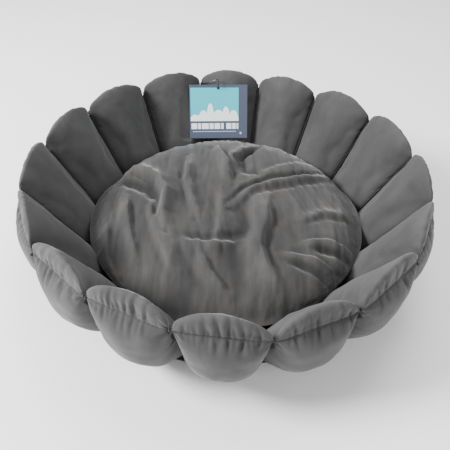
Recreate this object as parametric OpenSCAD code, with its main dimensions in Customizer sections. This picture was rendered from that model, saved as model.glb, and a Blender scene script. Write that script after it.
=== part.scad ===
// Round pet bed: a ring of stuffed fabric petals leaning outwards round a loose cushion.
// Origin at the middle of the underside, +Z up, front towards -Y. Millimetres.

/* [Petal ring] */
// Number of petals round the bed
petal_count = 16; // [12:1:16]
// Diameter of the ring of notches between the petals, at the rim
notch_d = 560; // [470:10:680]
// Height of the notches above the floor
notch_h = 142; // [118:2:172]
// Height that each petal's arch rises above the notches
crown_rise = 28; // [20:1:36]
// Angle of the channel seams from the floor
wall_lean = 60; // [50:1:72]
// Bulge of a petal's inner face in front of its channel seams
inner_bulge = 22.5; // [17:0.5:28]
// Reach of a petal's outer belly beyond the notches
belly_reach = 13.5; // [8:0.5:20]
// Height of the outer belly's widest line
belly_h = 108; // [90:1:116]
// Reach of a petal's outer foot beyond its channel seams
foot_reach = 29; // [22:1:34]
// How far the top of the arch sits inside the notches
crown_setback = 11; // [7:0.5:15]
// Gap between neighbouring petals, which the seam allowance fills
channel_gap = 1.6; // [1.4:0.1:2.4]

/* [Cloth and filling] */
// Thickness of the petals' velvet cloth
cloth_t = 1.5; // [1:0.1:2]
// Clearance between cloth and the filling behind it
fill_gap = 0.1; // [0.05:0.05:0.3]
// Thickness of the sewn-together seam allowance in a channel
seam_t = 1; // [0.6:0.1:1.2]
// Width of the seam allowance in a channel
seam_w = 10; // [6:1:14]

/* [Base] */
// Thickness of the non-slip underside
base_t = 3; // [2:0.5:4]
// Reach of the underside beyond the petals' channel seams
base_reach = 26; // [20:1:32]
// Thickness of the thin pad in the floor
floor_pad_t = 15; // [10:1:20]
// Thickness of the cloth on top of the floor pad
floor_cloth_t = 2; // [1:0.5:3]

/* [Cushion] */
// Height of the cushion's edge seam above the floor cloth
cushion_seam_h = 38; // [30:1:46]
// Height of the rounded edge above its seam
cushion_edge_h = 30; // [24:1:36]
// Width of the rounded edge
cushion_edge_w = 48; // [40:1:60]
// Height of the crown above the rounded edge
cushion_crown_h = 10; // [6:1:16]
// Clearance between the cushion and the petals
cushion_gap = 4.6; // [3:0.2:8]
// Clearance between the cushion and the floor cloth
cushion_lift_gap = 0.3; // [0.3:0.1:1]
// Thickness of the cushion's cloth
cushion_cloth_t = 1.2; // [0.8:0.1:1.6]

/* [Hang tag] */
// Width of the card
card_w = 105; // [85:1:125]
// Height of the card
card_h = 95; // [80:1:115]
// Thickness of the card
card_t = 0.5; // [0.4:0.1:0.8]
// Middle of the card, to the side of the bed's middle
card_x = -18; // [-24:1:-12]
// Height of the card's bottom edge above the floor
card_foot_h = 70; // [68:0.5:76]
// Clearance between the card's middle and the line of the petals' inner faces
card_gap = 7; // [7:0.5:9]
// Angle that the card is turned towards the middle of the bed
card_yaw = 3.5; // [3:0.5:5]
// Diameter of the card's hole
hole_d = 5; // [4:0.5:6]
// Distance of the hole's middle from the card's top edge
hole_margin = 6; // [5:0.5:7]
// Diameter of the fastening loop's filament
filament_d = 1.2; // [1:0.1:1.4]
// Clearance between the card's top edge and the axis that it swings about
swing_gap = 1.5; // [1:0.1:2]
// Largest angle that the card swings through
swing_max = 165; // [120:5:165]

/* [Hidden] */
function two_digits(i) = str(i < 10 ? "0" : "", i);
petals = [for (i = [1:petal_count]) i];

half_petal = 180 / petal_count;
notch_r = notch_d / 2;
crown_h = notch_h + crown_rise;
crown_r = notch_r - crown_setback;
belly_r = notch_r + belly_reach;
seam_slope = 1 / tan(wall_lean);
foot_seam_r = notch_r - (notch_h - base_t) * seam_slope;
foot_in_r = foot_seam_r - inner_bulge;
foot_out_r = foot_seam_r + foot_reach;
// The inner face is a straight cone that ends just inside the top of the arch
crown_lip = 3;
face_slope = (crown_r - crown_lip - foot_in_r) / (crown_h - base_t);
face_lean = atan(1 / face_slope);
belly_power = 1.7;

wall_steps = 4;
arch_steps = 4;
arch_end = 87;
skin_steps = 6;
round_fn = 96;

velvet = [0.45, 0.44, 0.45];
velvet_light = [0.55, 0.54, 0.55];

function channel_r(z) = notch_r - (notch_h - z) * seam_slope;
function face_r(z) = foot_in_r + (z - base_t) * face_slope;
function arch_share(z) = max(0, (z - notch_h) / crown_rise);
function middle_r(z) = z < notch_h ? channel_r(z) : notch_r - crown_setback * arch_share(z) ^ 2;
function outer_r(z) = z < belly_h
    ? belly_r - (belly_r - foot_out_r) * ((belly_h - z) / (belly_h - base_t)) ^ belly_power
    : crown_r + (belly_r - crown_r) * sqrt(max(0, 1 - ((z - belly_h) / (crown_h - belly_h)) ^ 2));
function arch(z) = sqrt(max(0, 1 - arch_share(z) ^ 2));
// Half the petal's width: its inner face just reaches the gap beside the channel seam
function half_width(z) = arch(z) * sqrt(
    (middle_r(z) * tan(half_petal) - channel_gap / 2) ^ 2
    - ((middle_r(z) - face_r(z)) * tan(half_petal)) ^ 2);

levels = concat(
    [for (k = [0:wall_steps]) base_t + (notch_h - base_t) * k / wall_steps],
    [for (k = [1:arch_steps]) notch_h + crown_rise * sin(arch_end * k / arch_steps)]
);

// A point of the petal's skin, moved in by a thickness; the skin closes to a line at the top
function skin_point(level, angle, inset) =
    let (
        z = levels[level],
        closes = level == len(levels) - 1,
        reach = cos(angle) > 0 ? outer_r(z) - middle_r(z) : middle_r(z) - face_r(z),
        depth = closes ? 0 : max(reach - inset, 0.2),
        flat_share = (crown_h - base_t - 2 * inset) / (crown_h - base_t)
    )
    [middle_r(z) + depth * cos(angle), max(half_width(z) - inset, 0.4) * sin(angle),
     base_t + inset + (z - base_t) * flat_share];

// Triangles between two neighbouring rows of points
function band(a, b, count, flip) = [for (j = [0:count - 2]) for (t = [0, 1])
    let (tri = t == 0 ? [a + j, b + j, b + j + 1] : [a + j, b + j + 1, a + j + 1])
    flip ? [tri[2], tri[1], tri[0]] : tri];

// Half of a petal's cover: two skins joined round their edges
module cover(from_angle) {
    columns = skin_steps + 1;
    rows = len(levels);
    skin = rows * columns;
    points = [for (inset = [0, cloth_t]) for (i = [0:rows - 1]) for (j = [0:columns - 1])
        skin_point(i, from_angle + 180 * j / skin_steps, inset)];
    faces = concat(
        [for (i = [0:rows - 2]) each band(i * columns, (i + 1) * columns, columns, false)],
        [for (i = [0:rows - 2]) each band(skin + i * columns, skin + (i + 1) * columns, columns, true)],
        band(0, skin, columns, true),
        band((rows - 1) * columns, skin + (rows - 1) * columns, columns, false),
        [for (i = [0:rows - 2]) for (side = [0, 1])
            let (a = side * (columns - 1) + i * columns, b = a + columns)
            each (side == 0
                ? [[a, a + skin, b + skin], [a, b + skin, b]]
                : [[a, b + skin, a + skin], [a, b, b + skin]])]
    );
    polyhedron(points, faces, convexity = 6);
}

module at_petal(i) {
    rotate([0, 0, -90 + (i - 1) * 2 * half_petal]) children();
}

module petal_inner(i) {
    color(velvet_light) at_petal(i) cover(90);
}

module petal_outer(i) {
    color(velvet) at_petal(i) cover(-90);
}

module petal_fill(i) {
    rows = len(levels) - 1;
    columns = 2 * skin_steps;
    inset = cloth_t + fill_gap;
    points = [for (k = [0:rows - 1]) for (j = [0:columns - 1])
        skin_point(k, 360 * j / columns, inset)];
    faces = concat(
        [[for (j = [0:columns - 1]) j]],
        [[for (j = [columns - 1:-1:0]) (rows - 1) * columns + j]],
        [for (k = [0:rows - 2]) for (j = [0:columns - 1])
            let (a = k * columns + j, b = k * columns + (j + 1) % columns)
            each [[a, b + columns, b], [a, a + columns, b + columns]]]
    );
    color("white") at_petal(i) polyhedron(points, faces, convexity = 4);
}

// The seam allowances stand in the gaps between the petals
module channel_seams() {
    color("dimgray")
        for (i = petals)
            at_petal(i) rotate([90, 0, half_petal])
                translate([0, 0, -seam_t / 2]) linear_extrude(seam_t)
                    polygon([
                        [foot_seam_r - seam_w / 2, base_t],
                        [foot_seam_r + seam_w / 2, base_t],
                        [notch_r + seam_w / 2, notch_h],
                        [notch_r - seam_w / 2, notch_h]
                    ]);
}

module base_panel() {
    color("dimgray") cylinder(r = foot_seam_r + base_reach, h = base_t, $fn = round_fn);
}

floor_r = foot_in_r - channel_gap;
floor_h = base_t + floor_pad_t;

module floor_pad() {
    color("white") translate([0, 0, base_t]) cylinder(r = floor_r, h = floor_pad_t, $fn = round_fn);
}

module floor_panel() {
    color(velvet) translate([0, 0, floor_h]) cylinder(r = floor_r, h = floor_cloth_t, $fn = round_fn);
}

cushion_z = floor_h + floor_cloth_t + cushion_lift_gap;
cushion_seam_z = cushion_z + cushion_seam_h;
cushion_r = face_r(cushion_seam_z) - cushion_gap;
cushion_flat_r = face_r(cushion_z) - cushion_gap;
cushion_turn = 10;
edge_steps = 8;
crown_steps = 6;

// Upper outline from the edge seam to the middle, moved in by a thickness
function cushion_top(inset) =
    let (shoulder_r = cushion_r - cushion_edge_w)
    concat(
        [for (k = [0:edge_steps]) let (a = 90 * k / edge_steps)
            [shoulder_r + (cushion_edge_w - inset) * cos(a),
             cushion_seam_z + (cushion_edge_h - inset) * sin(a)]],
        [for (k = [1:crown_steps]) let (share = 1 - k / crown_steps)
            [shoulder_r * share, cushion_seam_z + cushion_edge_h - inset
             + cushion_crown_h * (1 - share ^ 2)]]
    );

// Lower outline from the middle to the edge seam, moved in by a thickness
function cushion_bottom(inset) = [
    [0, cushion_z + inset],
    [cushion_flat_r - cushion_turn, cushion_z + inset],
    [cushion_flat_r - inset, cushion_z + cushion_turn],
    [cushion_r - inset, cushion_seam_z]
];

function backwards(list) = [for (k = [len(list) - 1:-1:0]) list[k]];

module cushion_top_panel() {
    color(velvet_light) rotate_extrude($fn = round_fn)
        polygon(concat(cushion_top(0), backwards(cushion_top(cushion_cloth_t))));
}

module cushion_bottom_panel() {
    color(velvet) rotate_extrude($fn = round_fn)
        polygon(concat(cushion_bottom(0), backwards(cushion_bottom(cushion_cloth_t))));
}

module cushion_fill() {
    inset = cushion_cloth_t + fill_gap;
    color("white") rotate_extrude($fn = round_fn)
        polygon(concat(cushion_bottom(inset), cushion_top(inset)));
}

// The card leans on the back petals, parallel to their inner faces
card_foot_y = face_r(card_foot_h) - (card_gap + card_t) / sin(face_lean);
swing_y = (card_h + swing_gap) * cos(face_lean);
swing_h = card_foot_h + (card_h + swing_gap) * sin(face_lean);

module tag_card() {
    color("slateblue") translate([card_x, card_foot_y, card_foot_h]) rotate([0, 0, card_yaw])
        rotate([face_lean, 0, 0]) linear_extrude(card_t, center = true)
            difference() {
                translate([-card_w / 2, 0]) square([card_w, card_h]);
                translate([0, card_h - hole_margin]) circle(d = hole_d, $fn = 32);
            }
}

// The loop's filament: out of the rim seam, through the card's hole, over its top edge and back
loop_r = hole_margin + swing_gap;
rest_angle = 180 + face_lean;
behind_angle = 16;
free_angle = 15;
arc_steps = 14;
tail_steps = 7;
filament_sides = 8;
caught = 1;
// The notch that the tag hangs from is the first one past the back of the bed
tag_notch_angle = 90 + half_petal;
notch_in = [-cos(tag_notch_angle), -sin(tag_notch_angle), 0];
notch_lower = [notch_r * cos(tag_notch_angle), notch_r * sin(tag_notch_angle), notch_h - caught];
notch_upper = notch_lower + [0, 0, 2 * filament_d];
groove_run = 16;
turn_run = 7;

// A point beside the card: across it, out from its foot's middle, and up from the floor
function by_card(across, out, up) = [
    card_x + across * cos(card_yaw) - out * sin(card_yaw),
    card_foot_y + across * sin(card_yaw) + out * cos(card_yaw),
    up
];
function on_arc(a) = by_card(0, swing_y + loop_r * cos(a), swing_h + loop_r * sin(a));
function curve(p, q, r, s, t) =
    p * (1 - t) ^ 3 + q * 3 * t * (1 - t) ^ 2 + r * 3 * t ^ 2 * (1 - t) + s * t ^ 3;
arc_first = rest_angle + behind_angle;
arc_last = rest_angle - swing_max - free_angle;
sideways = [-1, 0, 0];

route = concat(
    [for (k = [0:tail_steps - 1]) curve(notch_lower, notch_lower + notch_in * groove_run,
        on_arc(arc_first) + sideways * turn_run, on_arc(arc_first), k / tail_steps)],
    [for (k = [0:arc_steps]) on_arc(arc_first + (arc_last - arc_first) * k / arc_steps)],
    [for (k = [1:tail_steps]) curve(on_arc(arc_last), on_arc(arc_last) + sideways * turn_run,
        notch_upper + notch_in * groove_run, notch_upper, k / tail_steps)]
);

function unit(v) = v / norm(v);
function heading(list, k) = unit(list[min(k + 1, len(list) - 1)] - list[max(k - 1, 0)]);
// Each ring's first direction is the last one's, turned no more than the route turns
function sides_at(list, k, last) =
    let (side = unit(last - heading(list, k) * (last * heading(list, k))))
    k == len(list) - 1 ? [side] : concat([side], sides_at(list, k + 1, side));

module filament(list, d) {
    first = sides_at(list, 0, [0.1, 0.2, 1]);
    points = [for (k = [0:len(list) - 1])
        let (u = first[k], v = cross(heading(list, k), u))
        for (j = [0:filament_sides - 1])
            let (a = 360 * j / filament_sides)
            list[k] + (u * cos(a) + v * sin(a)) * d / 2];
    last_ring = (len(list) - 1) * filament_sides;
    faces = concat(
        [[for (j = [0:filament_sides - 1]) j]],
        [[for (j = [filament_sides - 1:-1:0]) last_ring + j]],
        [for (k = [0:len(list) - 2]) for (j = [0:filament_sides - 1])
            let (a = k * filament_sides + j, b = k * filament_sides + (j + 1) % filament_sides)
            each [[a, b + filament_sides, b], [a, a + filament_sides, b + filament_sides]]]
    );
    polyhedron(points, faces, convexity = 6);
}

module tag_loop() {
    color("black") filament(route, filament_d);
}

for (i = petals) petal_inner(i);
for (i = petals) petal_outer(i);
for (i = petals) petal_fill(i);
channel_seams();
base_panel();
floor_pad();
floor_panel();
cushion_top_panel();
cushion_bottom_panel();
cushion_fill();
tag_card();
tag_loop();
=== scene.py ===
# %% [markdown]
# # A round pet bed of stuffed petals
# The bed is a ring of sixteen stuffed velvet petals that lean outwards round a loose, slack
# cushion, with a printed card tag hanging at the back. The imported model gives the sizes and
# places. This lesson builds the soft surfaces round it, one kind of piece at a time.

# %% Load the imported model
import math

import bpy
import numpy as np
from mathutils import Matrix, Vector


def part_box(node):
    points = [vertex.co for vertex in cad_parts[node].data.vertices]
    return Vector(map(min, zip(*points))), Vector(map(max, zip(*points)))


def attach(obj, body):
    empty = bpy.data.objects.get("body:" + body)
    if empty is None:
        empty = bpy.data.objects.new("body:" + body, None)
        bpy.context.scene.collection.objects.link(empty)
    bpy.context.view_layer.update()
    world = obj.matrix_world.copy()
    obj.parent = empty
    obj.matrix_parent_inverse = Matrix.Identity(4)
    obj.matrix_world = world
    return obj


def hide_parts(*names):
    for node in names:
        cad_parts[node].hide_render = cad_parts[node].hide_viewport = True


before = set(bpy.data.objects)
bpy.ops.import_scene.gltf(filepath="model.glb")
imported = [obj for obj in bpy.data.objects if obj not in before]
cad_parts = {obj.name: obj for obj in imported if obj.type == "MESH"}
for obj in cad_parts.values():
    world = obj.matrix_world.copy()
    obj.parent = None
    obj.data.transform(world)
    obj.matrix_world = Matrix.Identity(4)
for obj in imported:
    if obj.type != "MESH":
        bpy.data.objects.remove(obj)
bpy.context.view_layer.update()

bpy.ops.object.select_all(action="DESELECT")
MM = 0.001

# %% [markdown]
# ## Camera, floor and light
# The camera looks down on the front of the bed from about eye height over a table. It is
# placed first, so that every piece can be judged from the same side while it is made.

# %% Camera
EYE = Vector((0, -582, 598)) * MM
EYE_PITCH = math.radians(43.6)
EYE_YAW = math.radians(0.15)
EYE_ROLL = math.radians(1.46)
camera_data = bpy.data.cameras.new("camera")
camera_data.lens = 40.5
camera_data.clip_start = 0.01
camera = bpy.data.objects.new("camera", camera_data)
bpy.context.scene.collection.objects.link(camera)
turned = Matrix.Rotation(EYE_YAW, 4, "Z") @ Matrix.Rotation(math.pi / 2 - EYE_PITCH, 4, "X")
camera.matrix_world = Matrix.Translation(EYE) @ turned @ Matrix.Rotation(EYE_ROLL, 4, "Z")
bpy.context.scene.camera = camera
print("camera", tuple(round(x, 3) for x in camera.location))


# %% [markdown]
# ## Building materials from nodes
# Every finish here is made of nodes, so that it needs no picture files. Three small helpers
# keep the trees short: one starts a material, one adds a node with its inputs, and one makes
# a colour ramp.

# %% Nodes
def new_material(name):
    """A material with an empty tree, a Principled shader and its output."""
    made = bpy.data.materials.new(name)
    made.use_nodes = True
    made.node_tree.nodes.clear()
    shader = made.node_tree.nodes.new("ShaderNodeBsdfPrincipled")
    output = made.node_tree.nodes.new("ShaderNodeOutputMaterial")
    made.node_tree.links.new(shader.outputs[0], output.inputs[0])
    return made, made.node_tree, shader


def add_node(tree, kind, inputs=(), **settings):
    """A node with its settings, and its inputs given as values or as other nodes' outputs."""
    node = tree.nodes.new("ShaderNode" + kind)
    for key, value in settings.items():
        setattr(node, key, value)
    for key, value in dict(inputs).items():
        if isinstance(value, bpy.types.NodeSocket):
            tree.links.new(value, node.inputs[key])
        else:
            node.inputs[key].default_value = value
    return node


def ramp(tree, value, stops):
    """A colour ramp through (place, colour) stops."""
    node = add_node(tree, "ValToRGB", {0: value})
    while len(node.color_ramp.elements) < len(stops):
        node.color_ramp.elements.new(0.5)
    for element, (place, colour) in zip(node.color_ramp.elements, stops):
        element.position = place
        element.color = (*colour, 1)
    return node.outputs[0]


def grey(value, warm=0.0):
    """A grey, a little warmer or cooler."""
    return (value * (1 + warm), value, value * (1 - warm))


# %% [markdown]
# ## Studio
# The bed stands on white paper. One large lamp high on the left models the petals, a weaker
# one fills the front, and one behind picks out the crowns. Large lamps give soft shadows.

# %% Floor and light
BED_MIDDLE = Vector((0, 0, 0.1))


def lamp(name, energy, place, size):
    """A round area lamp at a place, turned towards the middle of the bed."""
    data = bpy.data.lights.new(name, "AREA")
    data.energy = energy
    data.shape = "DISK"
    data.size = size
    made = bpy.data.objects.new(name, data)
    made.location = place
    made.rotation_euler = (BED_MIDDLE - Vector(place)).to_track_quat("-Z", "Y").to_euler()
    bpy.context.scene.collection.objects.link(made)
    return made


bpy.ops.mesh.primitive_plane_add(size=12, location=(0, 0, 0))
floor = bpy.context.object
floor.name = "floor"
paper, tree, shader = new_material("studio_paper")
shader.inputs["Base Color"].default_value = (0.95, 0.95, 0.95, 1)
shader.inputs["Roughness"].default_value = 0.9
floor.data.materials.append(paper)

lamp("key", 104, (-1.6, -0.3, 1.35), 0.7)
lamp("fill", 20, (1.2, -1.5, 1.3), 1.6)
lamp("top", 30, (0.3, 0.7, 1.9), 1.2)
world = bpy.data.worlds.new("studio")
bpy.context.scene.world = world
world.use_nodes = True
world.node_tree.nodes["Background"].inputs[0].default_value = (1, 1, 1, 1)
world.node_tree.nodes["Background"].inputs[1].default_value = 0.62
print("lamps and floor are in")


# %% [markdown]
# ## Velvet
# The covers are short-pile velvet. Its hairs lie in patches that were brushed one way or the
# other, so it shows soft lighter and darker areas, and it glows a little where it is seen at
# a slant. Sheen gives that glow, and stretched noise gives the brushed patches. A fine bump
# is the pile itself. Shade and light are also painted into the colour: each piece stores a
# painted shade value on its points; the velvet is painted darker by it, and lighter below nought.

# %% Velvet
# Painted shade: how much darker the velvet is painted where its painted shade value is one.
PAINTED_SHADE_STRENGTH = 0.62


def velvet(name, dark, light, warm, streak, sheen):
    """Short-pile velvet whose brushed patches are stretched by the streak scale."""
    made, tree, shader = new_material(name)
    place = add_node(tree, "TexCoord").outputs["Object"]
    stretched = add_node(tree, "Mapping", {"Vector": place, "Scale": streak}).outputs[0]
    patches = add_node(tree, "TexNoise", {"Vector": stretched, "Scale": 1.0, "Detail": 4.0,
                                          "Roughness": 0.6, "Distortion": 0.4}).outputs[0]
    broad = add_node(tree, "TexNoise", {"Vector": place, "Scale": 9.0, "Detail": 2.0}).outputs[0]
    pile = add_node(tree, "TexNoise", {"Vector": place, "Scale": 1300.0, "Detail": 2.0}).outputs[0]
    worn = add_node(tree, "Mix", {"Factor": 0.35, 2: patches, 3: broad}).outputs[0]
    middle = grey((dark + light) / 2.1, warm * 0.3)
    stops = [(0.3, grey(dark, -warm * 0.5)), (0.5, middle), (0.7, grey(light, warm))]
    tone = ramp(tree, worn, stops)
    speck = ramp(tree, pile, [(0.3, grey(0.82)), (0.7, grey(1.1))])
    colour = add_node(tree, "Mix", {"Factor": 1.0, 6: tone, 7: speck}, data_type="RGBA",
                      blend_type="MULTIPLY").outputs[2]
    # Painted shade: each point's painted shade value darkens the colour, and lightens it below
    # nought.
    crease = add_node(tree, "Attribute", attribute_name="crease").outputs["Fac"]
    depth = add_node(tree, "Math", {0: crease, 1: -PAINTED_SHADE_STRENGTH, 2: 1.0},
                     operation="MULTIPLY_ADD").outputs[0]
    shaded = add_node(tree, "VectorMath", {0: colour, "Scale": depth}, operation="SCALE").outputs[0]
    tree.links.new(shaded, shader.inputs["Base Color"])
    shader.inputs["Roughness"].default_value = 0.82
    shader.inputs["Specular IOR Level"].default_value = 0.25
    shader.inputs["Sheen Weight"].default_value = sheen
    shader.inputs["Sheen Roughness"].default_value = 0.45
    shader.inputs["Sheen Tint"].default_value = (0.75, 0.75, 0.78, 1)
    fuzz = add_node(tree, "Bump", {"Height": pile, "Strength": 0.25, "Distance": 0.0006})
    brushed_nap_and_painted_light = add_node(tree, "Bump", {"Height": patches, "Strength": 0.25, "Distance": 0.004,
                                      "Normal": fuzz.outputs[0]})
    tree.links.new(brushed_nap_and_painted_light.outputs[0], shader.inputs["Normal"])
    return made


petal_velvet = velvet("petal_velvet", 0.038, 0.070, 0.0, (26, 26, 9), 0.24)
cushion_velvet = velvet("cushion_velvet", 0.021, 0.058, 0.08, (55, 10, 20), 0.34)
print("velvets", petal_velvet.name, cushion_velvet.name)


# %% [markdown]
# ## Plain finishes
# The seam cloth, the underside cloth, the tag's filament and the filling are each one colour.
# Fine noise varies their tone and raises their surface a little, so that none looks flat.

# %% Other finishes
def plain(name, colour, rough, noise_scale, depth):
    """A finish of one colour with fine noise in its tone and its surface."""
    made, tree, shader = new_material(name)
    place = add_node(tree, "TexCoord").outputs["Object"]
    grain = add_node(tree, "TexNoise", {"Vector": place, "Scale": noise_scale,
                                        "Detail": 3.0}).outputs[0]
    low, high = [[c * k for c in colour] for k in (0.8, 1.15)]
    tree.links.new(ramp(tree, grain, [(0.3, low), (0.7, high)]), shader.inputs["Base Color"])
    shader.inputs["Roughness"].default_value = rough
    bump = add_node(tree, "Bump", {"Height": grain, "Strength": 0.4, "Distance": depth})
    tree.links.new(bump.outputs[0], shader.inputs["Normal"])
    return made


seam_cloth = plain("seam_cloth", (0.03, 0.03, 0.032), 0.9, 900, 0.0004)
underside_cloth = plain("underside_cloth", (0.045, 0.045, 0.047), 0.85, 700, 0.0004)
nylon = plain("black_nylon", (0.008, 0.008, 0.009), 0.3, 500, 0.0001)
fibre = plain("white_fibre", (0.8, 0.8, 0.78), 0.95, 400, 0.002)
print("finishes", [made.name for made in (seam_cloth, underside_cloth, nylon, fibre)])


# %% [markdown]
# ## Helpers for soft shapes
# A stuffed form is easiest to draw as section curves, so one helper turns a few points into
# a smooth curve, by length along it. Another makes a mesh from points and faces, joins the
# doubled points along its seams and turns its faces outwards.

# %% Shaping helpers
def smooth_line(points, count, ease=1.0):
    """Points spread along a smooth curve, closer at its end where ease is above one."""
    p = np.array(points, float)
    p = np.vstack([2 * p[0] - p[1], p, 2 * p[-1] - p[-2]])
    t = np.linspace(0, 1, 40)[:, None]
    runs = []
    for a, b, c, d in zip(p, p[1:], p[2:], p[3:]):
        bend = 2 * a - 5 * b + 4 * c - d + t * (3 * (b - c) + d - a)
        runs.append(b + 0.5 * t * (c - a + t * bend))
    dense = np.vstack(runs)
    steps = np.linalg.norm(np.diff(dense, axis=0), axis=1)
    along = np.concatenate([[0], np.cumsum(steps)])
    wanted = (1 - (1 - np.linspace(0, 1, count)) ** ease) * along[-1]
    line = np.stack([np.interp(wanted, along, dense[:, k]) for k in range(p.shape[1])], 1)
    return line, along[-1]


def choose(piece):
    """Selects one piece and makes it the active one."""
    bpy.ops.object.select_all(action="DESELECT")
    piece.select_set(True)
    bpy.context.view_layer.objects.active = piece


def put_values(data, key, values):
    """Stores a number at each point of a mesh."""
    layer = data.attributes.new(key, "FLOAT", "POINT")
    layer.data.foreach_set("value", np.asarray(values, np.float32))


def mesh_object(name, vertices, faces, material, attributes=()):
    """A mesh object at the origin, with doubled points merged and its faces outwards."""
    data = bpy.data.meshes.new(name)
    data.from_pydata([tuple(v) for v in vertices], [], [tuple(f) for f in faces])
    for key, values in dict(attributes).items():
        put_values(data, key, values)
    made = bpy.data.objects.new(name, data)
    bpy.context.scene.collection.objects.link(made)
    data.materials.append(material)
    choose(made)
    bpy.ops.object.mode_set(mode="EDIT")
    bpy.ops.mesh.select_all(action="SELECT")
    bpy.ops.mesh.remove_doubles(threshold=0.0001)
    bpy.ops.mesh.normals_make_consistent(inside=False)
    bpy.ops.object.mode_set(mode="OBJECT")
    return made


# %% [markdown]
# ## Reading and writing points
# Bending and pressing a surface is quickest on all its points at once, so they are read into
# an array and written back. Every modifier is applied as soon as it is set.

# %% Points and modifiers
def points_of(piece):
    """A piece's points as an array."""
    co = np.empty(len(piece.data.vertices) * 3, np.float32)
    piece.data.vertices.foreach_get("co", co)
    return co.reshape(-1, 3).astype(float)


def put_points(piece, co):
    """Writes an array of points back into a piece."""
    piece.data.vertices.foreach_set("co", np.asarray(co, np.float32).ravel())
    piece.data.update()


def normals_of(piece):
    """The normal at each of a piece's points."""
    no = np.empty(len(piece.data.vertices) * 3, np.float32)
    piece.data.vertex_normals.foreach_get("vector", no)
    return no.reshape(-1, 3).astype(float)


def values_of(piece, key):
    """One of a piece's point attributes as an array."""
    out = np.empty(len(piece.data.vertices), np.float32)
    piece.data.attributes[key].data.foreach_get("value", out)
    return out.astype(float)


def finish_modifiers(piece):
    """Applies all of a piece's modifiers."""
    choose(piece)
    for modifier in list(piece.modifiers):
        bpy.ops.object.modifier_apply(modifier=modifier.name)


def subdivide(piece, levels=1):
    """Rounds a piece off with an applied subdivision surface."""
    modifier = piece.modifiers.new("rounded", "SUBSURF")
    modifier.levels = modifier.render_levels = levels
    finish_modifiers(piece)


def shade_smooth(piece):
    """Shades a piece as one smooth surface."""
    choose(piece)
    bpy.ops.object.shade_smooth()


def lumps(piece, size, depth):
    """Broad soft lumps, as loose fibre makes under a cover."""
    texture = bpy.data.textures.new(f"{piece.name}_lumps", "CLOUDS")
    texture.noise_scale = size
    modifier = piece.modifiers.new("lumps", "DISPLACE")
    modifier.texture = texture
    modifier.texture_coords = "LOCAL"
    modifier.strength = depth
    modifier.mid_level = 0.5
    finish_modifiers(piece)


# %% [markdown]
# ## Petals
# Each petal is an inner panel and an outer panel of velvet, sewn to each other along the rim
# and to their neighbours along two channels, and stuffed with fibre. The shape could be
# sculpted, but a sewn form is governed by its seams, so it is drawn from them. Rows run from
# the foot up the inner face, over the crown to the rim seam, down the belly and under the
# sole. Each row is an arc from one channel seam to the other.

# %% Petal shape
PETALS = 16
HALF = math.pi / PETALS
base_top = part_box("base_panel")[1].z
notch_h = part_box("channel_seams")[1].z
crown_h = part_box("petal_inner_01")[1].z
belly_r = -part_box("petal_outer_01")[0].y
foot_in = -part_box("petal_inner_01")[1].y
SEAM_HALF = 5 * MM
WALL_LEAN = math.radians(60)
notch_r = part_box("channel_seams")[1].x / math.cos(HALF) - SEAM_HALF
foot_seam = notch_r - (notch_h - base_top) / math.tan(WALL_LEAN)
SEAM_GAP = 0.45 * MM
rim_x = notch_r * math.cos(HALF) + 3.0 * MM
rim_z = notch_h + 2.5 * MM
print("notch", round(notch_r, 4), notch_h, "foot", round(foot_seam, 4), round(foot_in, 4))
print("belly", round(belly_r, 4), "rim", round(rim_x, 4), round(rim_z, 4))

# %% [markdown]
# ## Rows of a petal
# The rows are spaced more closely near the rim seam, where the puckers will be. Fullness says
# how square an arc is: two is an ellipse, and more is a tighter, fuller roll.

# %% Petal rows
COLUMNS, WALL_ROWS, CROWN_ROWS, SOLE_ROWS = 48, 44, 20, 8
FRONT_EASE, BACK_EASE = 1.15, 1.2


def edge_at(share):
    """The channel seam's radius and height in the petal's middle plane, from foot to notch."""
    radius = foot_seam + (notch_r - foot_seam) * share
    return radius * math.cos(HALF), base_top + (notch_h - base_top) * share


def petal_rows():
    """Rows round one petal: its middle line, its sewn edge, the run to the rim, and fullness."""
    top = crown_h - 0.5 * MM
    front = [(foot_in + 0.002, base_top), (foot_in + 0.024, 0.045), (foot_in + 0.047, 0.089),
             (foot_in + 0.0715, notch_h - 0.008), (foot_in + 0.080, 0.1515),
             (foot_in + 0.0895, top - 0.001), (foot_in + 0.0965, top - 0.003),
             (foot_in + 0.0995, 0.160), (foot_in + 0.1003, 0.153), (rim_x, rim_z)]
    back = [(foot_seam + 0.022, base_top), (foot_seam + 0.031, 0.008), (foot_seam + 0.048, 0.021),
            (foot_seam + 0.069, 0.044), (belly_r - 0.007, 0.072), (belly_r - 0.003, 0.100),
            (belly_r - 0.004, 0.122), (rim_x + 0.0065, 0.137), (rim_x, rim_z)]
    inner_rows = WALL_ROWS + CROWN_ROWS
    front_line, front_run = smooth_line(front, inner_rows + 1, FRONT_EASE)
    back_line, back_run = smooth_line(back, WALL_ROWS + 1, BACK_EASE)
    rows = []
    for k in range(inner_rows + 1):
        left = (1 - k / inner_rows) ** FRONT_EASE
        share = 1 - max(0.0, (left - 0.26) / 0.74) ** 1.6
        fullness = 1.9 + 0.35 * min(1, (1 - left) / 0.9) ** 3
        rows.append((front_line[k], edge_at(share), front_run * left, share, fullness))
    for k in range(WALL_ROWS - 1, -1, -1):
        left = (1 - k / WALL_ROWS) ** BACK_EASE
        share = 1 - left ** 1.5
        rows.append((back_line[k], edge_at(share), -back_run * left, share, 1.8 + left ** 1.2))
    for k in range(1, SOLE_ROWS):
        share = k / SOLE_ROWS
        sole = back_line[0] * (1 - share) + front_line[0] * share
        rows.append((sole, edge_at(0.0), -back_run - 0.001, 0.0, 2.0))
    return rows


print("rows in a petal", len(petal_rows()))

# %% [markdown]
# ## Sewing up a petal
# Each point keeps how far it is from the rim seam and from the channel seam, how far up the
# wall it is, and its place across the panel. The simulation is pinned by these values, and
# the puckers and the velvet's shading are placed by them.

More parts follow.
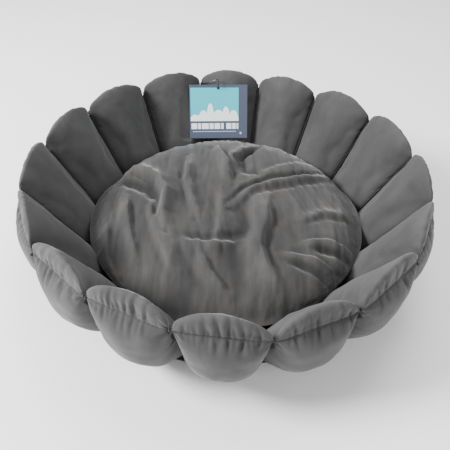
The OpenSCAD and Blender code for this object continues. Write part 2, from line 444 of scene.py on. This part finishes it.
# %% Petal covers
def to_petal(co, azimuth):
    """Points in a petal's own directions: outwards, sideways and up."""
    c, s = math.cos(azimuth), math.sin(azimuth)
    return np.stack([co[:, 0] * c + co[:, 1] * s, -co[:, 0] * s + co[:, 1] * c, co[:, 2]], 1)


def from_petal(co, azimuth):
    """The reverse of to_petal."""
    return to_petal(co, -azimuth)


def build_petal(number):
    """One petal's closed cover in its place round the bed, before it is stuffed."""
    turn = np.linspace(-math.pi / 2, math.pi / 2, COLUMNS + 1)
    across = np.sin(turn)
    vertices, rim_gap, side_gap, height, width = [], [], [], [], []
    for line, edge, rim, share, fullness in petal_rows():
        full = np.clip(1 - np.abs(across) ** fullness, 0, 1) ** (1 / fullness)
        depth = line[0] - edge[0]
        x = edge[0] + depth * full
        z = edge[1] + (line[1] - edge[1]) * full
        chord = edge[0] * math.tan(HALF) - SEAM_GAP
        inward = max(0.0, -depth) * math.tan(HALF)
        y = math.sqrt(chord ** 2 - inward ** 2) * across
        vertices.append(np.stack([x, y, z], 1))
        rim_gap.append(np.full(COLUMNS + 1, rim))
        from_seam = 1 - np.abs(turn) / (math.pi / 2)
        side_gap.append(np.hypot(chord, depth) * 1.15 * from_seam)
        height.append(np.full(COLUMNS + 1, share))
        width.append(chord * across)
    grid = np.array(vertices)
    azimuth = -math.pi / 2 + (number - 1) * 2 * HALF
    count, wide = grid.shape[0], COLUMNS + 1
    faces = []
    for i in range(count):
        j = (i + 1) % count
        for k in range(COLUMNS):
            faces.append((i * wide + k, i * wide + k + 1, j * wide + k + 1, j * wide + k))
    values = {"rim_gap": rim_gap, "side_gap": side_gap, "height": height, "width": width}
    values = {key: np.concatenate(rows) for key, rows in values.items()}
    placed = from_petal(grid.reshape(-1, 3), azimuth)
    return mesh_object(f"petal_{number:02d}", placed, faces, petal_velvet, values), azimuth


random = np.random.default_rng(7)
petals = [build_petal(number) for number in range(1, PETALS + 1)]
print("petals", len(petals), "points each", len(petals[0][0].data.vertices))


# %% [markdown]
# ## How the ring has settled
# A hand-sewn ring is never quite regular. Each notch between two petals sits a little lower,
# further out or further round than the next, and the whole rim moves with it. One smooth
# warp of the space round the ring does this to petals and seams alike, so nothing parts.

# %% Settled ring
NOTCH_UP = np.array([-6, -1, 2, 1, -1, 0, -3, -2, 0, -1, 2, 0, 3, 2, 7, 2]) * MM
NOTCH_OUT = np.array([2, 2, 4, 7, 8, 5, 1, 0, 0, 1, 4, 8, 9, 6, 0, -2]) * MM
NOTCH_ROUND = np.array([1, -4, 0, -2, -3, 0, 2, 1, 0, 0, 1, -1, 2, 1, 0, -2]) * MM
CROWN_UP = np.array([1, 1, 2, 4, 5, 5, 6, 4, 4, 5, 6, 6, 5, 4, 2, 1]) * MM


def settled(co):
    """Moves points with the notches and crowns that they lie between."""
    angle, radius = np.arctan2(co[:, 1], co[:, 0]), np.hypot(co[:, 0], co[:, 1])
    turn = ((angle + math.pi / 2) / (2 * HALF)) % PETALS
    notch = (turn - 0.5) % PETALS
    low = np.floor(notch).astype(int) % PETALS
    part = notch - np.floor(notch)
    strength = np.clip(co[:, 2] / notch_h, 0, 1.1) ** 1.1
    outwards, upwards, sideways = [(v[low] * (1 - part) + v[(low + 1) % PETALS] * part) * strength
                                   for v in (NOTCH_OUT, NOTCH_UP, NOTCH_ROUND)]
    petal = np.round(turn).astype(int) % PETALS
    near_crown = np.cos(math.pi * (turn - np.round(turn))) ** 2
    crown = CROWN_UP[petal] * near_crown * np.clip((co[:, 2] - 0.1) / 0.06, 0, 1)
    radius = radius + outwards
    angle = angle + sideways / np.maximum(radius, 0.1)
    return np.stack([radius * np.cos(angle), radius * np.sin(angle), co[:, 2] + upwards + crown], 1)


# %% [markdown]
# ## Stuffing by cloth simulation
# Pressure inside a slack cover that is pinned at its seams pushes it out as fibre does, and
# makes the shallow hollows and tension folds that nobody would place by hand. How far a
# point may rise or dent is capped, so that each petal keeps to its place.

# %% Stuffing
def stuffed(pieces, pins, frames, pressure, stretch, gravity=0.0, still=()):
    """Runs Blender's cloth on pieces that are pinned at their seams, and keeps the result."""
    for piece, held in zip(pieces, pins):
        group = piece.vertex_groups.new(name="held")
        group.add([int(v) for v in np.flatnonzero(held)], 1.0, "REPLACE")
        cloth = piece.modifiers.new("cloth", "CLOTH")
        settings = cloth.settings
        settings.quality = 6
        settings.mass = 0.25
        settings.tension_stiffness = settings.compression_stiffness = 12
        settings.shear_stiffness = 6
        settings.bending_stiffness = 0.15
        settings.vertex_group_mass = "held"
        settings.use_pressure = True
        settings.uniform_pressure_force = pressure
        settings.shrink_min = settings.shrink_max = -stretch
        settings.effector_weights.gravity = gravity
        cloth.collision_settings.use_collision = bool(still)
        cloth.collision_settings.use_self_collision = False
        cloth.collision_settings.distance_min = 0.002
        cloth.point_cache.frame_start = 1
        cloth.point_cache.frame_end = frames
    for number in range(1, frames + 1):
        bpy.context.scene.frame_set(number)
    for piece in pieces:
        finish_modifiers(piece)
    bpy.context.scene.frame_set(1)


def evened(piece, moved, times):
    """Spreads each point's movement among its neighbours, which takes out sharp kinks."""
    ends = np.empty(len(piece.data.edges) * 2, np.int32)
    piece.data.edges.foreach_get("vertices", ends)
    one, other = ends.reshape(-1, 2).T
    count = np.bincount(ends, minlength=len(moved))[:, None]
    for _ in range(times):
        around = [np.bincount(one, axis[other], len(axis))
                  + np.bincount(other, axis[one], len(axis)) for axis in moved.T]
        moved = 0.5 * moved + 0.5 * np.stack(around, 1) / count
    return moved


def seam_distance(piece):
    """How far each point of a petal is from its nearest seam."""
    return np.minimum(values_of(piece, "side_gap"), np.abs(values_of(piece, "rim_gap")))


def seam_pins(piece):
    """The points of a petal that its stitching and its sole hold."""
    return (seam_distance(piece) < 1e-5) | (values_of(piece, "height") < 1e-4)


def capped(moved, most):
    """Shortens every movement that is longer than the most it may be."""
    far = np.linalg.norm(moved, axis=1, keepdims=True)
    return moved * np.minimum(1, most / np.maximum(far, 1e-9))


# %% [markdown]
# ## Stuffing the petals
# All the petals are stuffed in one run. Along a petal's own normal, a point may rise by RISE
# and dent by DENT, less near a seam, and nothing moves further than CAP.

# %% Stuffed petals
INSET = 2.5 * MM
RISE = INSET + 5.0 * MM
DENT = 1.2 * MM
CAP = 10 * MM
covers = [piece for piece, azimuth in petals]
before = [(points_of(piece), normals_of(piece)) for piece in covers]
pins = [seam_pins(piece) for piece in covers]
stuffed(covers, pins, frames=14, pressure=5.0, stretch=0.015)
for piece, (start, out) in zip(covers, before):
    moved = evened(piece, points_of(piece) - start, times=10)
    rise = (moved * out).sum(1, keepdims=True)
    room = RISE * (1.02 - np.exp(-seam_distance(piece) / 0.022))[:, None]
    kept = np.where(rise > 0, room * np.tanh(rise / room), DENT * np.tanh(rise / DENT))
    put_points(piece, start + capped(moved + out * (kept - rise), CAP))
print("petals are stuffed")


# %% [markdown]
# ## Room for the card
# The card tag hangs in front of two petals and swings out over the cushion. Soft pieces give
# way to it: petals stay behind its flat, and the cushion stays out of the drum that it sweeps.

# %% Card's place
card_points = points_of(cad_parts["tag_card"])
card_middle = (card_points.min(0) + card_points.max(0)) / 2
card_normal = np.linalg.svd(card_points - card_points.mean(0), full_matrices=False)[2][2]
card_normal *= -np.sign(card_normal[1])
card_across = np.cross([0, 0, 1], card_normal)
card_across *= np.sign(card_across[0]) / np.linalg.norm(card_across)
card_up = np.cross(card_across, -card_normal)
card_up *= np.sign(card_up[2])
card_half_w = np.abs((card_points - card_middle) @ card_across).max()
card_half_h = np.abs((card_points - card_middle) @ card_up).max()
print("card", round(card_half_w * 2, 4), "by", round(card_half_h * 2, 4))


def behind_card(co):
    """Pushes points back behind the card's flat, less and less past its edges."""
    away = co - card_middle
    past = (np.maximum(np.abs(away @ card_across) - card_half_w, 0)
            + np.maximum(np.abs(away @ card_up) - card_half_h, 0))
    front = away @ card_normal - (-1.6 * MM + 0.5 * past)
    close = (co[:, 1] > 0) & (past < 0.05) & (front > 0) & (front < 0.04)
    return co - np.where(close, front, 0)[:, None] * card_normal


def under_card(co):
    """Pushes points out of the drum that the card sweeps as it swings."""
    hinge = card_middle + card_up * (card_half_h + 1.5 * MM)
    away = co - hinge
    along = away @ card_across
    flat = away - along[:, None] * card_across
    reach = np.linalg.norm(flat, axis=1)
    past = np.maximum(np.abs(along) - card_half_w, 0)
    short = 2 * card_half_h + 4.5 * MM - 0.7 * past - reach
    close = (short > 0) & (past < 0.06) & (flat[:, 2] < 0)
    return co + np.where(close, short, 0)[:, None] * flat / reach[:, None]


# %% [markdown]
# ## Gathers and puckers
# The seams are shorter than the cloth that they hold, so the cloth puckers across them: short
# valleys along the rim, long ones fanning out of each notch, and small ones up the channels.
# They are finer than the simulated grid, so they are pressed into the subdivided mesh.

# %% Gathers
def bell(x, width):
    """A smooth bump of height one."""
    return np.exp(-((x / width) ** 2))


def rim_puckers(rim, width, random):
    """Short valleys across the rim seam, on its inner side and its outer side."""
    gap = np.abs(rim)
    sink = 1.3 * MM * bell(gap, 1.5 * MM)
    for place in np.arange(-42, 43, 4.6) * MM:
        place = place + random.normal(0, 1.2) * MM
        strong = random.uniform(0.5, 3.6) * MM * (1 - (abs(place) / (56 * MM)) ** 2)
        slant = random.uniform(-0.22, 0.22)
        wide = random.uniform(1.2, 1.9) * MM * (1 + gap / (26 * MM))
        for face in (1, -1):
            reach = random.uniform(8, 21) * MM * (1.35 if face > 0 else 1.0)
            depth = strong * random.uniform(0.6, 1.2)
            valley = depth * bell(width - place - slant * gap, wide) * bell(gap, reach)
            valley *= 1 - 0.8 * np.exp(-gap / (2.5 * MM))
            sink += np.where(rim * face >= 0, valley, 0)
    return sink


def notch_folds(rim, side, beside, random):
    """Folds that fan out of the notch on one hand, over both faces."""
    gap = np.abs(rim)
    away = np.hypot(side, gap)
    angle = np.arctan2(gap, side + 1e-6)
    sink = np.zeros(len(rim))
    for face in (1, -1):
        on_face = beside & (rim * face > 0)
        for ray in (0.22, 0.5, 0.8, 1.08, 1.32):
            ray = ray + random.normal(0, 0.07)
            depth = random.uniform(0.6, 2.0) * MM
            reach = random.uniform(22, 48) * MM
            fold = depth * bell((angle - ray) * away, 1.6 * MM + away * 0.09)
            fold = fold * bell(away, reach) * (1 - np.exp(-away / (3 * MM)))
            sink += np.where(on_face, fold, 0)
    return sink


def channel_puckers(down, side, beside, random):
    """Small puckers up the channel seam on one hand."""
    sink = np.zeros(len(down))
    for place in np.linspace(5, 125, 17) * MM:
        place = place + random.normal(0, 3) * MM
        depth = random.uniform(0.3, 2.4) * MM * math.exp(-place / (95 * MM))
        reach = random.uniform(7, 19) * MM
        tilt = random.uniform(-0.5, 0.5)
        pucker = depth * bell(down - place + tilt * side, 2.3 * MM) * bell(side, reach)
        sink += np.where(beside, pucker, 0)
    return sink


# %% [markdown]
# ## Gathering each petal
# The puckers are pressed in along the normals. Then the petal is kept within the wedge that
# its neighbours leave it, moved with the settled ring, and kept behind the card.

# %% Gathered petals
WALL_LENGTH = 165 * MM
WEDGE_FREE, WEDGE_EASE = 0.93, 0.065


def wedge(local, gap, side):
    """Keeps a petal's points softly within the wedge that its neighbours leave it."""
    limit = local[:, 0] * math.tan(HALF) - gap
    over = np.abs(local[:, 1]) / limit
    past = np.clip(over - WEDGE_FREE, 0, 9)
    eased = WEDGE_FREE + WEDGE_EASE - WEDGE_EASE * np.exp(-past / WEDGE_EASE)
    eased = np.where(over > WEDGE_FREE, eased, over)
    free = 1 - np.exp(-side / (7 * MM))
    local[:, 1] = np.sign(local[:, 1]) * limit * (np.minimum(over, 1) * (1 - free) + eased * free)
    return local


def gather_petal(piece, azimuth, random):
    """Presses the lumps, puckers and folds into a petal, puts it in its place, and paints its
    shade.
    """
    subdivide(piece)
    plain_co = points_of(piece)
    lumps(piece, size=55 * MM, depth=5 * MM)
    co, no = points_of(piece), normals_of(piece)
    rim, side = values_of(piece, "rim_gap"), values_of(piece, "side_gap")
    height, width = values_of(piece, "height"), values_of(piece, "width")
    free = 1 - np.exp(-seam_distance(piece) / (9 * MM))
    co = plain_co + (co - plain_co) * free[:, None]
    off_middle = 1 - bell(width, 9 * MM)
    sink = rim_puckers(rim, width, random)
    for hand in (1, -1):
        beside = width * hand > 0
        sink += off_middle * notch_folds(rim, side, beside & (height > 0.35), random)
        on_face = beside & (rim != 0)
        sink += off_middle * channel_puckers((1 - height) * WALL_LENGTH, side, on_face, random)
    sink = np.where(height < 0.02, 0, sink) * (1 - np.exp(-side / (2 * MM)))
    local = wedge(to_petal(co - no * sink[:, None], azimuth), SEAM_GAP, side)
    local[:, 2] = np.maximum(local[:, 2], base_top)
    put_points(piece, behind_card(settled(from_petal(local, azimuth))))
    # Painted highlight on the crown and the top of the outer panel; painted shade in the grooves by
    # the channel seams and in the puckers.
    brushed_nap_and_painted_light = 0.42 * bell(rim - 26 * MM, 24 * MM) + 0.2 * bell(rim + 30 * MM, 30 * MM)
    shaded = 0.85 * np.exp(-side / (11 * MM)) + 0.6 * np.clip(sink / (2.2 * MM), 0, 1)
    put_values(piece.data, "crease", np.clip(shaded - brushed_nap_and_painted_light, -0.5, 1))
    shade_smooth(piece)


for piece, azimuth in petals:
    gather_petal(piece, azimuth, random)
    number = piece.name[-2:]
    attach(piece, "bed")
    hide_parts(f"petal_inner_{number}", f"petal_outer_{number}", f"petal_fill_{number}")
print("faces in a petal", len(petals[0][0].data.polygons))

# %% [markdown]
# ## Seam allowances
# Inside the bed, the cut edges of inner and outer panels are sewn together in a narrow strip
# that runs up each groove. Each strip is a grid, bent along its seam and given a thickness. It
# has to follow its own notch, so one function makes all sixteen, and they are then joined.

# %% Channel seams
STRIP_HALF = 1.1 * SEAM_HALF


def seam_strip(notch):
    """The sewn cloth edges in one groove, from the base up to the notch."""
    bpy.ops.mesh.primitive_grid_add(x_subdivisions=4, y_subdivisions=44, size=1,
                                    location=(0, 0, 0))
    strip = bpy.context.object
    strip.name = f"channel_seam_{notch + 1:02d}"
    co = points_of(strip)
    share, side = 0.985 * (co[:, 1] + 0.5), co[:, 0] * 2
    angle = math.atan2(notch_h - base_top, notch_r - foot_seam)
    out = side * STRIP_HALF
    radius = foot_seam + (notch_r - foot_seam) * share + out * math.sin(angle)
    z = base_top + 0.001 + (notch_h - base_top - 0.002) * share - out * math.cos(angle)
    turned = -math.pi / 2 + (2 * notch + 1) * HALF
    place = np.stack([radius, np.zeros(len(co)), np.maximum(z, base_top + 0.3 * MM)], 1)
    put_points(strip, behind_card(settled(from_petal(place, turned))))
    strip.data.materials.append(seam_cloth)
    modifier = strip.modifiers.new("cloth", "SOLIDIFY")
    modifier.thickness = 2 * SEAM_GAP - 0.1 * MM
    modifier.offset = 0
    finish_modifiers(strip)
    return strip


strips = [seam_strip(notch) for notch in range(PETALS)]
bpy.ops.object.select_all(action="DESELECT")
for strip in strips:
    strip.select_set(True)
bpy.context.view_layer.objects.active = strips[0]
bpy.ops.object.join()
seams = bpy.context.object
seams.name = "seam_allowances"
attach(seams, "bed")
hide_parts("channel_seams")
print("seam strips", len(strips))

# %% [markdown]
# ## Loose cushion
# The cushion is a round bag with too little filling. A ball could be flattened, but its poles
# would show under a loose cover. A square grid pressed into a disc has even cells and no pole,
# so one such disc is laid over the top outline, one over the sole, and they meet at the seam.

# %% Cushion shape
cushion_low, cushion_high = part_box("cushion_top_panel")
cushion_r = cushion_high.x
cushion_seam = cushion_low.z
cushion_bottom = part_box("cushion_bottom_panel")[0].z
CELLS = 96


def disc_grid(cells):
    """A square grid of points pressed into a unit disc."""
    line = np.linspace(-1, 1, cells + 1)
    x, y = np.meshgrid(line, line)
    return np.stack([x * np.sqrt(1 - y ** 2 / 2), y * np.sqrt(1 - x ** 2 / 2)], -1).reshape(-1, 2)


def spread_on(disc, meridian):
    """Lays a unit disc over a round form with this outline from its middle to its edge."""
    line, run = smooth_line(meridian, 200)
    share = np.hypot(disc[:, 0], disc[:, 1])
    steps = np.linspace(0, 1, 200)
    r, z = np.interp(share, steps, line[:, 0]), np.interp(share, steps, line[:, 1])
    direction = disc / np.maximum(share, 1e-9)[:, None]
    return np.stack([direction[:, 0] * r, direction[:, 1] * r, z], 1)


def disc_faces(cells):
    """The square faces of a disc_grid, seen from above."""
    wide = cells + 1
    return [(i * wide + k, i * wide + k + 1, (i + 1) * wide + k + 1, (i + 1) * wide + k)
            for i in range(cells) for k in range(cells)]


def round_pad(name, cells, top, sole, material, values=()):
    """A closed round pad of two discs, laid over its top outline and its sole outline."""
    disc, upper = disc_grid(cells), disc_faces(cells)
    lower = [tuple(len(disc) + v for v in reversed(face)) for face in upper]
    points = np.vstack([spread_on(disc, top), spread_on(disc, sole)])
    return mesh_object(name, points, upper + lower, material, values)


disc = disc_grid(CELLS)
reach = np.hypot(disc[:, 0], disc[:, 1])
top_outline = [(0, cushion_high.z - 0.001), (0.06, cushion_high.z - 0.002),
               (0.12, cushion_high.z - 0.004), (cushion_r - 0.048, cushion_seam + 0.0345),
               (cushion_r - 0.028, cushion_seam + 0.029), (cushion_r - 0.013, cushion_seam + 0.020),
               (cushion_r - 0.003, cushion_seam + 0.009), (cushion_r, cushion_seam)]
sole_outline = [(0, cushion_bottom), (0.09, cushion_bottom), (cushion_r - 0.036, cushion_bottom),
                (cushion_r - 0.020, cushion_bottom + 0.009), (cushion_r, cushion_seam)]
upper_half = np.repeat([1.0, 0.0], len(disc))
cushion = round_pad("cushion", CELLS, top_outline, sole_outline, cushion_velvet,
                    {"reach": np.concatenate([reach, reach]), "upper": upper_half})
print("cushion points", len(cushion.data.vertices))

# %% [markdown]
# ## Folds of the slack cover
# The cover lies in folds that have a place each. A fold with a height is a ridge with one
# steep side and a trough beside it, and one with a depth is a plain crease. Long thin creases
# run from back to front between them.

# %% Folds
FOLD_SCALE = 1.15
STEEP, SOFT = 0.62, 1.3


def fold_along(co, route, height, width, lee):
    """How far a fold along a route lifts each point: steep on its lee side, soft on the other."""
    route = np.array(route, float) * MM
    best, side = np.full(len(co), 9.0), np.zeros(len(co))
    ends = np.ones(len(co))
    total = np.linalg.norm(np.diff(route, axis=0), axis=1).sum()
    done = 0.0
    for a, b in zip(route, route[1:]):
        run = b - a
        length = np.linalg.norm(run)
        t = np.clip(((co[:, :2] - a) @ run) / length ** 2, 0, 1)
        near = a + t[:, None] * run
        gap = np.linalg.norm(co[:, :2] - near, axis=1)
        cross = run[0] * (co[:, 1] - a[1]) - run[1] * (co[:, 0] - a[0])
        closer = gap < best
        best = np.where(closer, gap, best)
        side = np.where(closer, np.sign(cross), side)
        at = (done + t * length) / total
        ends = np.where(closer, np.minimum(1, 4 * np.minimum(at, 1 - at) + 0.25), ends)
        done += length
    beyond = best * side * lee / (0.85 * width * MM)
    crest = bell(beyond, np.where(beyond > 0, STEEP, SOFT))
    trough = bell(beyond - 1.0, 0.55)
    return FOLD_SCALE * height * MM * ends * (crest - 0.35 * trough * (height > 0))


# Each fold: its route in millimetres, its height or depth, its width, and its steep side.
FOLDS = [
    ([(-150, 85), (-110, 45), (-95, 15), (-95, -35), (-85, -60)], 14, 12, -1),
    ([(-170, 60), (-125, 30), (-105, 5)], -10, 10, 1),
    ([(-170, 65), (-160, 85), (-150, 90)], 8, 9, 1),
    ([(-65, 110), (-65, 50), (-55, 0), (-45, -35)], 8, 10, -1),
    ([(-20, 145), (0, 85), (5, 45)], 8, 10, 1),
    ([(65, 170), (25, 120), (30, 80), (55, 70)], -6, 8, 1),
    ([(40, 150), (5, 110), (10, 75)], 7, 11, 1),
    ([(0, 0), (25, 35), (70, 65), (155, 90)], -7, 8, 1),
    ([(10, -5), (40, 30), (85, 50), (160, 75)], 7, 12, -1),
    ([(50, 65), (85, 90), (130, 110)], 3, 13, 1),
    ([(-60, -70), (-25, -75), (30, -60)], -3, 9, 1),
    ([(-60, -85), (-20, -90), (20, -80)], 4, 12, 1),
    ([(30, 35), (25, -20), (30, -50), (10, -95), (20, -150), (40, -170)], -6, 20, 1),
    ([(60, 20), (60, -30), (45, -90), (55, -125), (75, -165)], 7, 15, 1),
    ([(-10, 30), (-10, -20), (-10, -60), (-20, -100)], 4, 11, -1),
    ([(-65, -90), (-45, -135), (-25, -170)], -4, 9, 1),
    ([(-35, -105), (-20, -140), (5, -175)], 5, 10, 1),
    ([(120, -90), (155, -90), (190, -95)], -7, 7, 1),
    ([(110, -80), (150, -75), (185, -80)], 4, 9, 1),
    ([(85, -110), (120, -125), (160, -145)], -7, 7, 1),
    ([(80, -100), (120, -110), (160, -125)], 4, 9, 1),
    ([(145, -125), (180, -110)], -6, 8, 1),
    ([(110, -35), (145, -20), (190, -15)], 5, 10, -1),
    ([(-175, -40), (-170, -100), (-150, -135)], 6, 9, 1),
    ([(-155, 10), (-140, -65), (-120, -120)], 5, 10, 1),
    ([(-115, -15), (-95, -80), (-70, -135)], 5, 11, -1),
]


def cloth_noise(x, y, seed):
    """Smooth noise on a plane, from random numbers on a grid."""
    size = 97
    table = np.random.default_rng(seed).uniform(-1, 1, (size, size))
    i, j = np.floor(x).astype(int), np.floor(y).astype(int)
    u, v = x - i, y - j
    u, v = u * u * (3 - 2 * u), v * v * (3 - 2 * v)
    a, b = table[i % size, j % size], table[(i + 1) % size, j % size]
    c, d = table[i % size, (j + 1) % size], table[(i + 1) % size, (j + 1) % size]
    return (a * (1 - u) + b * u) * (1 - v) + (c * (1 - u) + d * u) * v


def streaks(co):
    """Long, narrow creases that run from the back of the cushion to its front."""
    x = co[:, 0] + 0.02 * np.sin(co[:, 1] * 14) + 0.08 * co[:, 1]
    long_one = cloth_noise(x / 0.013, co[:, 1] / 0.09, 1)
    fine = cloth_noise(x / 0.006, co[:, 1] / 0.045, 2)
    return (3.0 * np.abs(long_one) + 1.1 * fine) * MM


print("folds", len(FOLDS))

# %% [markdown]
# ## Letting the cover settle
# The top is cut a little too large and drapes under its own weight on the filling, which is
# a solid body only while the cloth falls. The edge seam and the underside are pinned.

# %% Slack cover
def cushion_pins(piece):
    """The cushion's edge seam and its underside, which lies on the floor cloth."""
    return (values_of(piece, "upper") < 0.5) | (values_of(piece, "reach") > 0.999)


within_cover = [(r * 0.985, z - 4 * MM) for r, z in top_outline]
filling = mesh_object("filling", spread_on(disc, within_cover), disc_faces(CELLS), fibre)
filling.modifiers.new("solid", "COLLISION")
filling.collision.thickness_outer = 0.001
filling.collision.cloth_friction = 30
start = points_of(cushion)
stuffed([cushion], [cushion_pins(cushion)], frames=24, pressure=0.0, stretch=0.05,
        gravity=0.6, still=[filling])
bpy.data.objects.remove(filling)
put_points(cushion, start + capped(points_of(cushion) - start, 12 * MM))
print("cushion cover has settled")

# %% [markdown]
# ## Pressing the folds in
# The folds, the creases and a little noise lift the settled top, calmer towards the front,
# and nothing at the edge seam. Shade is painted into the hollows and light onto the ridges,
# and the right side and the front are painted lighter.

# %% Folded cover
subdivide(cushion)
co = points_of(cushion)
open_share = np.clip((1 - values_of(cushion, "reach")) * 5, 0, 1)
open_share *= values_of(cushion, "upper") > 0.5
calm = np.clip((co[:, 1] + 0.17) / 0.09, 0.25, 1)
rise = sum(fold_along(co, *fold) for fold in FOLDS) + streaks(co) * calm
rise += 3.5 * MM * cloth_noise(co[:, 0] / 0.045 + 0.1, co[:, 1] / 0.10 + 3, 6)
rise += 0.5 * MM * cloth_noise(co[:, 0] / 0.0045, co[:, 1] / 0.03, 3)
rise += 0.4 * MM * cloth_noise(co[:, 0] / 0.011, co[:, 1] / 0.014, 4)
co[:, 2] += open_share * (rise - 3 * MM)
put_points(cushion, under_card(co))
# Painted shade in the hollows, painted highlight on the ridges; the right side and the front are
# painted lighter, the far left a little darker.
hollow = (2.5 * MM - rise) / (9 * MM)
brushed_nap_and_painted_light = 0.22 * np.clip(co[:, 0] / 0.2, -0.4, 1) + 0.2 * np.clip((-co[:, 1] - 0.09) / 0.1, 0, 1)
put_values(cushion.data, "crease", open_share * np.clip(hollow - brushed_nap_and_painted_light, -0.35, 0.95))
shade_smooth(cushion)
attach(cushion, "cushion")
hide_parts("cushion_top_panel", "cushion_bottom_panel", "cushion_fill")
print("faces in the cushion", len(cushion.data.polygons))

# %% [markdown]
# ## Floor mat
# Under the cushion lies a thin padded floor. It shows only when the cushion is lifted out.
# It is a low round pad with rolled edges.

# %% Floor mat
floor_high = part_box("floor_panel")[1]
pad_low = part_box("floor_pad")[0]
mat_r = floor_high.x
mat_seam = floor_high.z - 0.010
mat_top = [(0, floor_high.z - 0.001), (mat_r * 0.6, floor_high.z - 0.001),
           (mat_r - 0.012, floor_high.z - 0.001), (mat_r - 0.002, floor_high.z - 0.006),
           (mat_r, mat_seam)]
mat_sole = [(0, pad_low.z), (mat_r * 0.6, pad_low.z), (mat_r - 0.006, pad_low.z), (mat_r, mat_seam)]
mat = round_pad("floor_mat", 48, mat_top, mat_sole, petal_velvet)
subdivide(mat)
shade_smooth(mat)
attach(mat, "bed")
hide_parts("floor_panel", "floor_pad")
print("floor mat", round(mat_r * 2, 4), "across")

# %% [markdown]
# ## Parts that keep their shape
# The base, the tag's loop and the card are right as they were packed. They only get finishes.

# %% CAD nodes that stay
def refinish(node, material):
    """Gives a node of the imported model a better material."""
    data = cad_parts[node].data
    data.materials.clear()
    data.materials.append(material)


refinish("base_panel", underside_cloth)
refinish("tag_loop", nylon)
print("base and loop have their finishes")

# %% [markdown]
# ## Printed card
# The card is thick paper with a satin print: slate all over, a pale blue-green picture panel,
# white hills in the picture, and bars that stand in for the printed words. The pattern is
# worked out in the card's own width and height, so it lies square on the leaning card.

# %% Card print
def sums(tree, operation, first, second=0.0, third=0.0):
    """One arithmetic step on node values."""
    return add_node(tree, "Math", {0: first, 1: second, 2: third}, operation=operation).outputs[0]


def within(tree, value, low, high):
    """One where a value lies between two limits, and nothing elsewhere."""
    above, below = sums(tree, "GREATER_THAN", value, low), sums(tree, "LESS_THAN", value, high)
    return sums(tree, "MULTIPLY", above, below)


def layered(tree, under, over, mask):
    """Lays one colour over another where the mask is one."""
    return add_node(tree, "Mix", {"Factor": mask, 6: under, 7: over}, data_type="RGBA").outputs[2]


# The middle, half width and height of each hill, and the start and width of each bar, as
# shares of the card.
PICTURE_FOOT = 0.675
HILLS = ((0.1, 0.11, 0.12), (0.24, 0.10, 0.20), (0.36, 0.075, 0.33),
         (0.5, 0.12, 0.21), (0.63, 0.08, 0.27), (0.76, 0.10, 0.2))
BARS = ((0.03, 0.10), (0.145, 0.05), (0.21, 0.12), (0.345, 0.07), (0.43, 0.10),
        (0.55, 0.04), (0.635, 0.09), (0.74, 0.06), (0.815, 0.03))


def hilly(tree, across, down):
    """One inside any of the hills that stand on the picture's lower edge."""
    hills = 0.0
    for middle, half, high in HILLS:
        away = sums(tree, "DIVIDE", sums(tree, "SUBTRACT", across, middle), half)
        slope = sums(tree, "POWER", sums(tree, "ABSOLUTE", away), 2.6)
        line = sums(tree, "MULTIPLY_ADD", sums(tree, "SUBTRACT", 1.0, slope), -high, PICTURE_FOOT)
        hills = sums(tree, "MAXIMUM", hills, sums(tree, "GREATER_THAN", down, line))
    return hills


def barred(tree, across):
    """One inside any of the bars that stand in for a printed line."""
    bars = 0.0
    for start, wide in BARS:
        bars = sums(tree, "MAXIMUM", bars, within(tree, across, start, start + wide))
    return bars


# %% [markdown]
# ## Printing the card
# The colours are laid over each other as inks are: slate, the picture panel, the hills, the
# bars, and last the fine line and a small square mark. Only the front is printed.

# %% Printed card
def printed_card():
    """Satin card with a picture panel, a row of bars, and a dotted line and a mark below."""
    made, tree, shader = new_material("printed_card")
    place = add_node(tree, "TexCoord").outputs["Object"]
    facing = np.cross(card_across, card_up)
    turned = Matrix([card_across, card_up, facing]).transposed().to_euler()
    local = add_node(tree, "Mapping", {"Vector": place, "Location": card_middle,
                                       "Rotation": turned}, vector_type="TEXTURE").outputs[0]
    split = add_node(tree, "SeparateXYZ", {0: local})
    across = sums(tree, "MULTIPLY_ADD", split.outputs[0], 0.5 / card_half_w, 0.5)
    down = sums(tree, "MULTIPLY_ADD", split.outputs[1], -0.5 / card_half_h, 0.5)
    printed_side = "GREATER_THAN" if facing @ card_normal > 0 else "LESS_THAN"
    front = sums(tree, printed_side, split.outputs[2], 0.0)
    panel = sums(tree, "MULTIPLY", within(tree, across, 0.02, 0.85),
                 within(tree, down, 0.055, PICTURE_FOOT))
    grain = add_node(tree, "TexNoise", {"Vector": place, "Scale": 700.0, "Detail": 2.0}).outputs[0]
    slate = ramp(tree, grain, [(0.3, (0.052, 0.066, 0.105)), (0.7, (0.066, 0.082, 0.125))])
    colour = layered(tree, slate, (0.05, 0.50, 0.61, 1), panel)
    hills = sums(tree, "MULTIPLY", hilly(tree, across, down), panel)
    colour = layered(tree, colour, (0.85, 0.9, 0.9, 1), hills)
    bars = sums(tree, "MULTIPLY", within(tree, down, 0.715, 0.825), barred(tree, across))
    colour = layered(tree, colour, (0.82, 0.84, 0.86, 1), bars)
    dashes = sums(tree, "GREATER_THAN", sums(tree, "PINGPONG", across, 0.013), 0.004)
    thin = sums(tree, "MULTIPLY", within(tree, down, 0.865, 0.88), within(tree, across, 0.05, 0.80))
    mark = sums(tree, "MULTIPLY", within(tree, down, 0.885, 0.925),
                within(tree, across, 0.87, 0.90))
    small = sums(tree, "MAXIMUM", sums(tree, "MULTIPLY", thin, dashes), mark)
    colour = layered(tree, colour, (0.55, 0.58, 0.64, 1), small)
    tree.links.new(layered(tree, slate, colour, front), shader.inputs["Base Color"])
    shader.inputs["Roughness"].default_value = 0.38
    bump = add_node(tree, "Bump", {"Height": grain, "Strength": 0.12, "Distance": 0.0002})
    tree.links.new(bump.outputs[0], shader.inputs["Normal"])
    return made


refinish("tag_card", printed_card())
print("card is printed")
